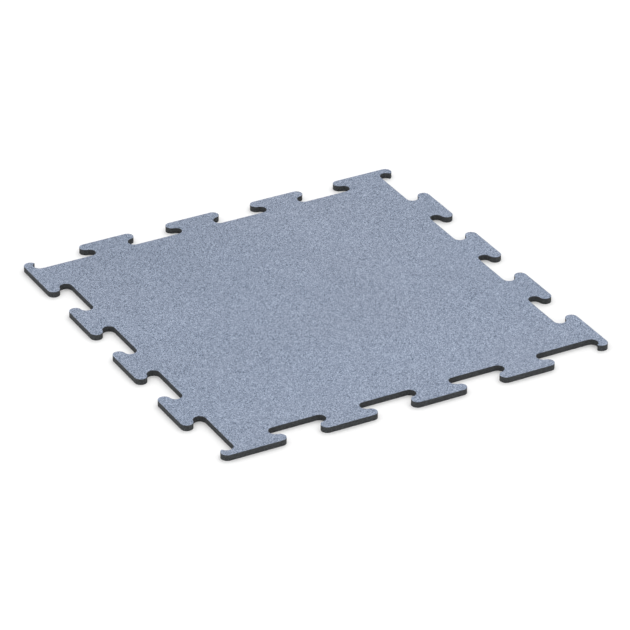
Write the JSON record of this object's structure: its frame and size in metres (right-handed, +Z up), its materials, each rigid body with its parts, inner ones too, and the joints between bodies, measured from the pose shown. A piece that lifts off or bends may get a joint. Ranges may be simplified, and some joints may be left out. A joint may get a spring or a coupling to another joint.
{
  "type": "rubber gym floor tile",
  "caption": "Square rubber floor tile with an interlocking puzzle edge of mushroom tabs and matching gaps on every side and hooked corner tabs.",
  "frame": {"origin": "centre of the underside, which lies on the floor", "axes": "+Z up through the thickness to the walking face; +X and +Y square to the tile's sides. Each side is the one before it turned a quarter turn about Z."},
  "size_m": [1.062, 1.062, 0.015],
  "materials": {
    "granulate_rubber": "bonded rubber granulate: walking face of fine blue-grey crumbs with paler and darker specks, matt; cut edges and underside dark charcoal crumb"
  },
  "bodies": {
    "root": {"tile": "granulate_rubber"}
  },
  "joints": []
}
